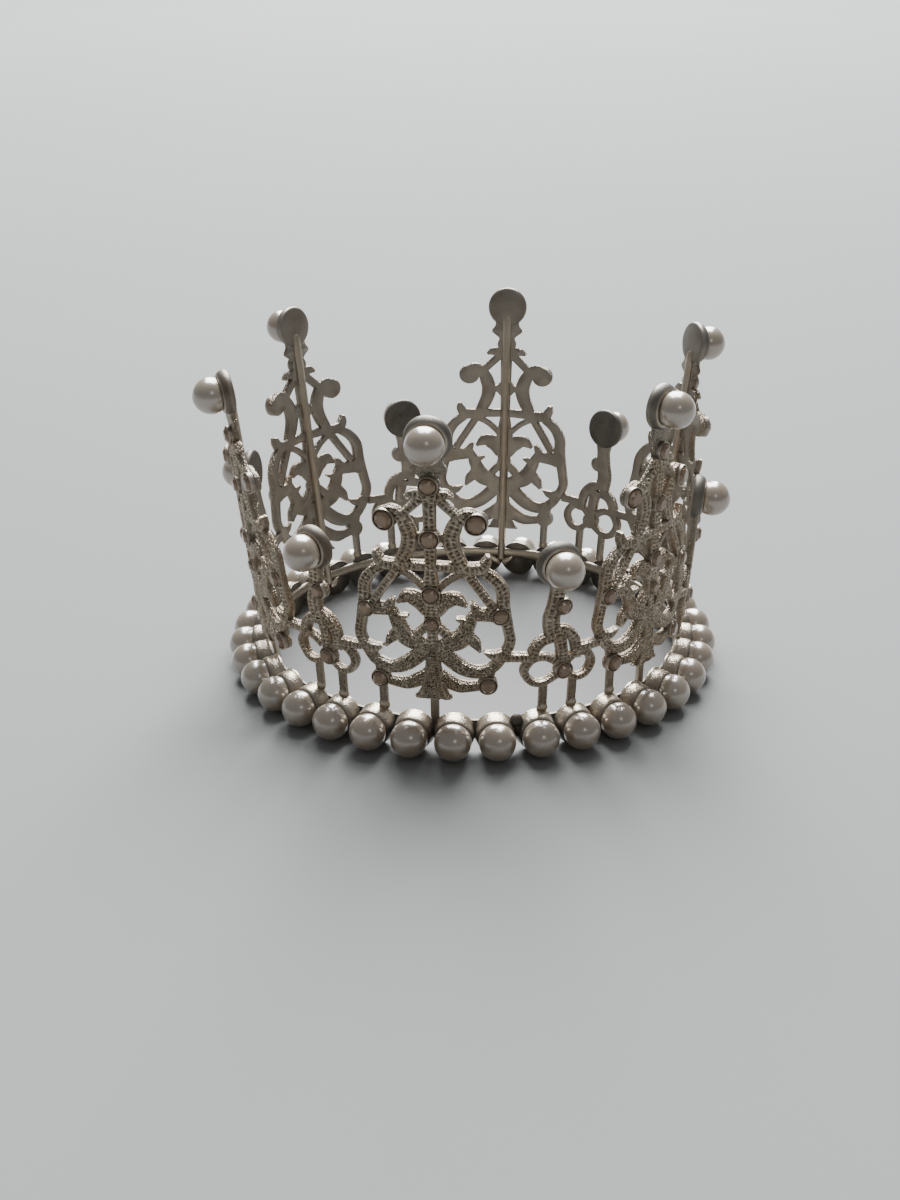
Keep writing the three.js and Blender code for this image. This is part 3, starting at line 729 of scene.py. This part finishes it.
def scratch(name, points, edges=(), faces=(), **values):
    """A working object in the scene with values on its points, removed by its user"""
    mesh = bpy.data.meshes.new(name)
    mesh.from_pydata([tuple(p) for p in points], edges, faces)
    for label, data in values.items():
        wide = hasattr(data[0], "__len__")
        layer = mesh.attributes.new(label, "FLOAT_VECTOR" if wide else "FLOAT", "POINT")
        layer.data.foreach_set("vector" if wide else "value", np.asarray(data, np.float32).ravel())
    made = bpy.data.objects.new(name, mesh)
    bpy.context.scene.collection.objects.link(made)
    return made


def discard(*objects):
    for thing in objects:
        mesh = thing.data
        bpy.data.objects.remove(thing)
        bpy.data.meshes.remove(mesh)


def outward(mesh):
    """Turns the faces of closed shells outwards"""
    work = bmesh.new()
    work.from_mesh(mesh)
    bmesh.ops.recalc_face_normals(work, faces=work.faces)
    work.to_mesh(mesh)
    work.free()
    return mesh


def set_copies(name, shell, places, finish, seed=METAL_SEED, sharp=40.0):
    """One mesh of a piece set at each of the places: a frame and a size each"""
    pattern = bpy.data.objects.new(name + "_pattern", outward(shell.mesh(name + "_pattern", sharp=sharp)))
    bpy.context.scene.collection.objects.link(pattern)
    points = scratch(name + "_points", [place.to_translation() for place, _ in places],
                     turn=[tuple(place.to_euler()) for place, _ in places],
                     size=[size for _, size in places])
    mesh = run_nodes(points, shared_nodes("Set on Points", setting_nodes),
                     {"Piece": pattern, "Seed": seed, "Finish": finish})
    discard(pattern, points)
    return mesh


def hand_over(name, mesh, finish, nodes=()):
    """Makes a mesh a piece of the crown, standing for the solids that it takes the place of"""
    mesh.name = name
    mesh.materials.clear()
    mesh.materials.append(finish)
    piece = bpy.data.objects.new(name, mesh)
    bpy.context.scene.collection.objects.link(piece)
    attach(piece, BODY)
    if nodes:
        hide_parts(*nodes)


def through_knots(knots, t):
    """A point (u, v, width) of the smooth curve through the knots"""
    span = t * (len(knots) - 1)
    i = min(int(span), len(knots) - 2)
    w = span - i
    near = [min(max(k, 0), len(knots) - 1) for k in (i - 1, i, i + 1, i + 2)]
    a, b, c, d = (np.array(knots[k], float) for k in near)
    m, n = (c - a) / 2, (d - b) / 2
    point = (2 * b - 2 * c + m + n) * w ** 3 + (3 * c - 3 * b - 2 * m - n) * w ** 2 + m * w + b
    point[2] = max(b[2] + (c[2] - b[2]) * w * w * (3 - 2 * w), LEAST_WIDTH)
    return point


def traced(knots, side=1, shift=0.0):
    """The scroll as evenly spaced points: its middle line, half width and unit vector across"""
    shares = np.linspace(0, 1, KNOT_SAMPLES * (len(knots) - 1) + 1)
    fine = np.array([through_knots(knots, t) for t in shares])
    run = np.concatenate([[0.0], np.cumsum(np.linalg.norm(np.diff(fine[:, :2], axis=0), axis=1))])
    count = max(int(round(run[-1] / TRACE_STEP)), 2)
    even = np.linspace(0, run[-1], count + 1)
    line = np.stack([np.interp(even, run, fine[:, k]) for k in range(3)], axis=1)
    line[:, 0] = line[:, 0] * side + shift
    along = np.gradient(line[:, :2], axis=0)
    along /= np.linalg.norm(along, axis=1)[:, None]
    return {"middle": line[:, :2], "half": line[:, 2] / 2,
            "across": np.stack([-along[:, 1], along[:, 0]], axis=1)}


def all_scrolls():
    """Every scroll of a tall panel and the low one at its right: rows of pits, and its trace"""
    tall = [(row, traced(knots, side)) for row, knots in TALL_SCROLLS.values() for side in (1, -1)]
    tall += [(row, traced(knots)) for row, knots in TALL_MIDDLE.values()]
    return tall + [(row, traced(knots, shift=LOW_OFFSET)) for row, knots in LOW_SCROLLS.values()]


def all_stones():
    return [*TALL_STONES, *((u + LOW_OFFSET, v, setting) for u, v, setting in LOW_STONES)]


def pierced_sheet(scrolls, stones):
    """Points and triangles of all the scrolls and settings as one flat sheet with its gaps left open"""
    points, faces = [], []

    def cover(corners):
        middle = np.mean(corners, axis=0)
        around = sorted(corners, key=lambda p: math.atan2(p[1] - middle[1], p[0] - middle[0]))
        faces.append(list(range(len(points), len(points) + len(around))))
        points.extend(Vector(p) for p in around)

    for _, scroll in scrolls:
        left = scroll["middle"] + scroll["across"] * scroll["half"][:, None]
        right = scroll["middle"] - scroll["across"] * scroll["half"][:, None]
        for k in range(len(left) - 1):
            cover([tuple(left[k]), tuple(right[k]), tuple(right[k + 1]), tuple(left[k + 1])])
    for u, v, setting in stones:
        turns = [2 * math.pi * k / SETTING_SIDES for k in range(SETTING_SIDES)]
        cover([(u + setting * math.cos(a), v + setting * math.sin(a)) for a in turns])
    spots, _, triangles, _, _, owners = delaunay_2d_cdt(points, [], faces, 0, WELD, True)
    kept_faces = [list(t) for t, owner in zip(triangles, owners) if owner]
    used = sorted({i for face in kept_faces for i in face})
    index = {old: new for new, old in enumerate(used)}
    return np.array([spots[i][:] for i in used]), [[index[i] for i in face] for face in kept_faces]


def cast_plate(scrolls, stones, sizes):
    """The pierced sheet as a closed plate with broken edges: depth 0 is its back"""
    spots, triangles = pierced_sheet(scrolls, stones)
    ways = {}
    for face in triangles:
        for a, b in zip(face, face[1:] + face[:1]):
            ways[(a, b)] = True
    rim = [(a, b) for a, b in ways if (b, a) not in ways]
    inward = np.zeros_like(spots)
    for a, b in rim:
        along = spots[b] - spots[a]
        normal = np.array([-along[1], along[0]]) / max(np.linalg.norm(along), TINY)
        inward[a] += normal
        inward[b] += normal
    length = np.linalg.norm(inward, axis=1)
    edge = length > TINY
    inward[edge] /= length[edge][:, None]
    on_rim = {i for pair in rim for i in pair}
    chamfer, front = sizes.chamfer / MM, sizes.plate / MM
    inset = spots + inward * chamfer
    count = len(spots)
    back = [(x, y, 0.0) for x, y in inset]
    face = [(x, y, front) for x, y in inset]
    order = sorted(on_rim)
    place = {i: k for k, i in enumerate(order)}
    low = [(spots[i][0], spots[i][1], chamfer) for i in order]
    high = [(spots[i][0], spots[i][1], front - chamfer) for i in order]
    faces = [list(reversed(t)) for t in triangles] + [[i + count for i in t] for t in triangles]
    lo = 2 * count
    hi = lo + len(order)
    for a, b in rim:
        pa, pb = place[a], place[b]
        faces.append([a, b, lo + pb, lo + pa])
        faces.append([lo + pa, lo + pb, hi + pb, hi + pa])
        faces.append([hi + pa, hi + pb, count + b, count + a])
    layers = (back, face, low, high)
    worn = [film for layer, film in zip(layers, PLATE_FILMS) for _ in layer]
    shell = Shell()
    shell.add(back + face + low + high, faces, worn, [0.0] * count + [1.0] * (count + 2 * len(order)))
    return shell


def grained_scrolls(scrolls, rows, sizes):
    """The grained relief of the scrolls with so many rows of pits, still flat"""
    chosen = [scroll for row, scroll in scrolls if row == rows]
    points, edges, half = [], [], []
    for scroll in chosen:
        start = len(points)
        points.extend((x, y, 0.0) for x, y in scroll["middle"])
        half.extend(scroll["half"] * RELIEF_SHARE)
        edges.extend((start + k, start + k + 1) for k in range(len(scroll["middle"]) - 1))
    pits = np.linspace(-RIM_INSIDE, RIM_INSIDE, PIT_POINTS * rows + 1)
    tops = [-1.0, -RIM_MIDDLE, *pits, RIM_MIDDLE, 1.0]
    ring = [*tops, 1.0, -1.0]
    profile = scratch("scroll_section", [(x, 0.0, 0.0) for x in ring],
                      [(k, (k + 1) % len(ring)) for k in range(len(ring))],
                      across=ring, top=[1.0] * len(tops) + [0.0, 0.0])
    lines = scratch("scroll_lines", points, edges, half=half)
    fine = rows > MOST_COARSE_ROWS
    pitch = sizes.pitch / MM * (FINE_PITCH if fine else 1.0)
    depth = sizes.pit / MM * (FINE_DEPTH if fine else 1.0)
    uneven = {"Sway": FINE_SWAY, "Unevenness": FINE_DRIFT} if fine else {}
    lift = OVERLAY if rows == OVERLAY_ROWS else 0.0
    mesh = run_nodes(lines, shared_nodes("Grained Scroll", graining_nodes), {
        "Section": profile, "Rows": float(rows), "Ground": sizes.plate / MM + lift,
        "Relief Height": sizes.relief / MM, "Pit Depth": depth, "Sink": RELIEF_SINK + lift,
        "Pit Spacing": pitch, "Step": pitch / PIT_POINTS, "Finish": metal(), **uneven})
    discard(profile, lines)
    return outward(mesh)


def tube_faces(rows, sides):
    """Faces of a tube through so many rings of points, closed at both ends"""
    faces = []
    for start in range(0, (rows - 1) * sides, sides):
        for j in range(sides):
            n = (j + 1) % sides
            faces.append([start + j, start + n, start + sides + n, start + sides + j])
    return [*faces, list(range(sides)), list(reversed(range((rows - 1) * sides, rows * sides)))]


def back_rib(sizes):
    """The half-round rib behind a tall panel, rounded at its top and run down over the strip"""
    radius = sizes.rib / MM
    root = radius * RIB_ROOT
    angles = np.linspace(0, math.pi, RIB_ARC)
    points = []
    for v, share in RIB_LEVELS:
        points.extend((radius * math.cos(a), v, -radius * share * math.sin(a) + RIB_LIFT) for a in angles)
        points.extend([(-root, v, RIB_ROOT_DEPTH), (root, v, RIB_ROOT_DEPTH)])
    shell = Shell()
    shell.add(points, tube_faces(len(RIB_LEVELS), RIB_ARC + 2), RIB_FILM)
    return outward(shell.mesh("rib", scale=1.0))


def flat_casting(sizes):
    """A tall panel and the low one at its right, before they are bent round"""
    scrolls = all_scrolls()
    plate = outward(cast_plate(scrolls, all_stones(), sizes).mesh("plate", scale=1.0))
    whole = Shell()
    for mesh in [plate, *(grained_scrolls(scrolls, rows, sizes) for rows in ROWS), back_rib(sizes)]:
        whole.add_mesh(mesh)
    return whole.mesh("casting", scale=1.0, sharp=50.0)


def bent(flat, section):
    """The flat casting bent round and leant outwards, in metres"""
    mesh = flat.copy()
    points = np.empty(len(mesh.vertices) * 3, np.float32)
    mesh.vertices.foreach_get("co", points)
    u, v, depth = points.reshape(-1, 3).T
    mesh.vertices.foreach_set("co", (on_crown(section, u, v, depth) * MM).astype(np.float32).ravel())
    mesh.update()
    return mesh


def stone_shell():
    """A round cut stone of radius 1: a table, rows of triangular facets round it, and a plain girdle"""
    points, films = [], []
    for radius, height, turn, film in STONE_RINGS:
        angles = [2 * math.pi * (k + turn) / FACETS for k in range(FACETS)]
        points.extend((radius * math.cos(a), radius * math.sin(a), height) for a in angles)
        films.extend([film] * FACETS)
    table, crown, girdle, back = (range(start, start + FACETS) for start in range(0, len(points), FACETS))
    faces = [list(table)]
    for k in range(FACETS):
        n = (k + 1) % FACETS
        faces += [[table[k], crown[k], table[n]], [crown[k], crown[n], table[n]],
                  [crown[k], girdle[n], crown[n]], [crown[k], girdle[k], girdle[n]],
                  [girdle[k], back[k], back[n], girdle[n]]]
    faces.append(list(reversed(back)))
    shell = Shell()
    shell.add(points, faces, films)
    return shell


def lathe_shell(profile, sides, grained=0.0):
    """A turned shell; the rows of its profile are radius, height and film of tarnish, which in places is
    painted shade.
    """
    points, faces = turned([row[:2] for row in profile], sides)
    films = []
    for radius, _, film in profile:
        films.extend([film] * (1 if radius < TINY else sides))
    shell = Shell()
    shell.add(points, faces, films, grained)
    return shell


def rib_solder(section, side):
    """Points and faces of a drawn-out run of solder beside a rib's foot, in millimetres"""
    points = []
    for k in range(RUN_ROWS + 1):
        u, v, radius = through_knots(RUN_KNOTS, k / RUN_ROWS)
        radius *= math.sin(math.pi * (TAPER_START + TAPER_SPAN * k / RUN_ROWS)) ** TAPER_POWER
        for j in range(RUN_SIDES):
            angle = 2 * math.pi * j / RUN_SIDES
            depth = RUN_DEPTH + RUN_FLATNESS * radius * math.sin(angle)
            points.append((u * side, v + radius * math.cos(angle), depth))
    flat = np.array(points)
    return on_crown(section, *flat.T).tolist(), tube_faces(RUN_ROWS + 1, RUN_SIDES)


class CROWN_OT_castings(Operator):
    """Make the six pierced castings, each a tall panel and the low one at its right"""

    bl_idname = "crown.make_castings"
    bl_label = "Castings"

    def execute(self, context):
        flat = flat_casting(context.scene.crown_sizes)
        for section in range(SECTIONS):
            name = f"casting_{section + 1}"
            hand_over(name, bent(flat, section), metal(), [f"panel_pair_{section + 1}"])
        return {"FINISHED"}


class CROWN_OT_base_band(Operator):
    """Make the ring of cups and the strip along their backs"""

    bl_idname = "crown.make_base_band"
    bl_label = "Base Band"

    def execute(self, context):
        places = [(seat_on_ring(i, CUP_BACK), 1.0) for i in range(PEARLS)]
        cup = lathe_shell(BASE_CUP, CUP_SIDES, CUP_GRAIN)
        # Painted shade: each cup is darkened towards its sides, where it meets its neighbours
        cup.darken(lambda x, y, _: CUP_SIDE_SHADE * x * x / (x * x + y * y + TINY))
        cups = set_copies("cups", cup, places, metal())
        whole = Shell()
        whole.add_mesh(cups, 1 / MM)
        profile = [(radius, height + STRIP_MIDDLE, film) for radius, height, film in STRIP]
        strip = lathe_shell(profile, STRIP_SIDES)
        whole.add(strip.points, strip.faces, strip.values["tarnish"])
        hand_over("cup_ring", outward(whole.mesh("cup_ring")), metal(), ["base_band"])
        return {"FINISHED"}


class CROWN_OT_tip_cups(Operator):
    """Make the round cups at the tips of the panels"""

    bl_idname = "crown.make_tip_cups"
    bl_label = "Tip Cups"

    def execute(self, context):
        # The low cups are given darker films than the tall ones: painted shade
        for name, ((u, v), back, wall) in TIP_CUP_TARNISH_AND_SHADE.items():
            profile = [(*ring, film) for rings, film in (
                (TIP_CUP_BACK, back), (TIP_CUP_WALL, wall), (TIP_CUP_LIP, LIP_FILM),
                (TIP_CUP_INSIDE, INSIDE_FILM)) for ring in rings]
            cup = lathe_shell(profile, CUP_SIDES)
            places = [(seat_on_crown(section, u, v, 0.0), 1.0) for section in range(SECTIONS)]
            hand_over(name, set_copies(name, cup, places, metal()), metal())
        return {"FINISHED"}


class CROWN_OT_settings(Operator):
    """Make the round settings that hold the stones"""

    bl_idname = "crown.make_settings"
    bl_label = "Settings"

    def execute(self, context):
        collet = lathe_shell(COLLET, SETTING_SIDES)
        places = [(seat_on_crown(section, u, v, COLLET_DEPTH - COLLET[0][1] * setting), setting)
                  for section in range(SECTIONS) for u, v, setting in all_stones()]
        hand_over("settings", set_copies("settings", collet, places, metal()), metal())
        return {"FINISHED"}


class CROWN_OT_stones(Operator):
    """Make the cut stones"""

    bl_idname = "crown.make_stones"
    bl_label = "Stones"

    def execute(self, context):
        finish = finish_named("cut_stone", cut_stone)
        places = [(seat_on_crown(section, u, v, STONE_DEPTH), setting * STONE_SHARE)
                  for section in range(SECTIONS) for u, v, setting in all_stones()]
        mesh = set_copies("cut_stones", stone_shell(), places, finish, STONE_SEED, sharp=1.0)
        hand_over("cut_stones", mesh, finish)
        return {"FINISHED"}


class CROWN_OT_pearls(Operator):
    """Make the pearls of the base and those at the tips of the panels"""

    bl_idname = "crown.make_pearls"
    bl_label = "Pearls"

    def execute(self, context):
        sizes = context.scene.crown_sizes
        finish = finish_named("pearl_lustre", pearl_lustre)
        rows = sizes.pearl_sides // 2
        arc = [(math.sin(math.pi * k / rows), -math.cos(math.pi * k / rows)) for k in range(rows + 1)]
        arc[0], arc[-1] = (0.0, -1.0), (0.0, 1.0)
        bead = lathe_shell([(*ring, 0.0) for ring in arc], sizes.pearl_sides)
        radius = sizes.pearl / MM
        rings = {
            "base_pearl": [seat_on_ring(i, sizes.pearl_circle / MM) for i in range(PEARLS)],
            "tall_pearl": [seat_on_crown(s, *TALL_TIP, TIP_SEAT) for s in range(SECTIONS)],
            "low_pearl": [seat_on_crown(s, *LOW_TIP, TIP_SEAT) for s in range(SECTIONS)],
        }
        for seed, (stem, seats) in enumerate(rings.items(), FIRST_PEARL_SEED):
            places = [(seat, radius) for seat in seats]
            mesh = set_copies(stem + "s", bead, places, finish, seed, sharp=80.0)
            width = 2 if stem == "base_pearl" else 1
            nodes = [f"{stem}_{i + 1:0{width}d}" for i in range(len(seats))]
            hand_over(stem + "s", mesh, finish, nodes)
        return {"FINISHED"}


class CROWN_OT_solder(Operator):
    """Make the solder at the castings' feet and beside the ribs, and the drop of painted shade at the ring's
    seam
    """

    bl_idname = "crown.make_solder"
    bl_label = "Solder"

    def execute(self, context):
        places = [(seat_on_crown(section, u, v, DROP_DEPTH), size)
                  for section in range(SECTIONS) for u, v, size in SOLDERED]
        # The seam's drop is painted fully dark: painted shade where the ring's ends meet
        drop, dark_drop = (lathe_shell([(*ring, film) for ring in DROP], DROP_SIDES)
                           for film in (DROP_FILM, SEAM_SHADE_FILM))
        turn, radius, height, size = RING_SEAM
        seam = seat_on_ring(math.radians(turn) * PEARLS / (2 * math.pi) - 0.5, radius)
        seam.translation.z = height * MM
        whole = Shell()
        whole.add_mesh(set_copies("drops", drop, places, metal(), SOLDER_SEED), 1 / MM)
        whole.add_mesh(set_copies("seam", dark_drop, [(seam, size)], metal(), SOLDER_SEED), 1 / MM)
        for section in range(SECTIONS):
            for side in (1, -1):
                whole.add(*rib_solder(section, side), 0.0)
        hand_over("solder", outward(whole.mesh("solder")), metal())
        return {"FINISHED"}


class CROWN_OT_stage(Operator):
    """Make the floor, the lights and the camera"""

    bl_idname = "crown.make_stage"
    bl_label = "Stage"

    def execute(self, context):
        finish = finish_named("pale_floor", floor_paint)
        corners = [(x * FLOOR_REACH, y * FLOOR_REACH, 0) for x, y in ((-1, -1), (1, -1), (1, 1), (-1, 1))]
        floor = scratch("floor", corners, faces=[(0, 1, 2, 3)])
        floor.data.materials.append(finish)
        for name, (place, size, power, colour) in LAMPS.items():
            lamp = bpy.data.lights.new(name, "AREA")
            lamp.shape = "RECTANGLE"
            lamp.size, lamp.size_y = size
            lamp.energy, lamp.color = power, colour
            stand = bpy.data.objects.new(name, lamp)
            stand.location = place
            aim = Vector(LAMP_AIM) - Vector(place)
            stand.rotation_euler = aim.to_track_quat("-Z", "Y").to_euler()
            context.scene.collection.objects.link(stand)
        world = bpy.data.worlds.new("studio")
        world.use_nodes = True
        background = world.node_tree.nodes["Background"]
        background.inputs["Color"].default_value = SKY
        background.inputs["Strength"].default_value = SKY_STRENGTH
        context.scene.world = world
        lens = bpy.data.cameras.new("camera")
        lens.lens, lens.sensor_width = LENS, SENSOR
        lens.clip_start, lens.clip_end = CLIP
        camera = bpy.data.objects.new("camera", lens)
        aim = Matrix.Rotation(PAN, 4, "Z") @ Matrix.Rotation(math.pi / 2 - TILT, 4, "X")
        camera.matrix_world = (Matrix.Translation(Vector(EYE) * MM)
                               @ aim @ Matrix.Rotation(ROLL, 4, "Z"))
        context.scene.collection.objects.link(camera)
        context.scene.camera = camera
        return {"FINISHED"}


class CROWN_PT_sidebar(Panel):
    """The crown's sizes, colours and pieces"""

    bl_idname = "CROWN_PT_sidebar"
    bl_label = "Filigree Crown"
    bl_space_type = "VIEW_3D"
    bl_region_type = "UI"
    bl_category = "Crown"

    def draw(self, context):
        for group in (context.scene.crown_sizes, context.scene.crown_colours):
            box = self.layout.box()
            for name in group.__annotations__:
                box.prop(group, name)
        for operator in OPERATORS:
            self.layout.operator(operator.bl_idname)


OPERATORS = (
    CROWN_OT_stage, CROWN_OT_base_band, CROWN_OT_castings, CROWN_OT_tip_cups, CROWN_OT_settings,
    CROWN_OT_stones, CROWN_OT_pearls, CROWN_OT_solder,
)
CLASSES = (CrownSizes, CrownColours, *OPERATORS, CROWN_PT_sidebar)


def register():
    for each in CLASSES:
        bpy.utils.register_class(each)
    bpy.types.Scene.crown_sizes = PointerProperty(type=CrownSizes)
    bpy.types.Scene.crown_colours = PointerProperty(type=CrownColours)


def unregister():
    del bpy.types.Scene.crown_colours
    del bpy.types.Scene.crown_sizes
    for each in reversed(CLASSES):
        bpy.utils.unregister_class(each)


def main():
    register()
    bpy.ops.crown.make_stage()
    bpy.ops.crown.make_base_band()
    bpy.ops.crown.make_castings()
    bpy.ops.crown.make_tip_cups()
    bpy.ops.crown.make_settings()
    bpy.ops.crown.make_stones()
    bpy.ops.crown.make_pearls()
    bpy.ops.crown.make_solder()


if __name__ == "__main__":
    main()
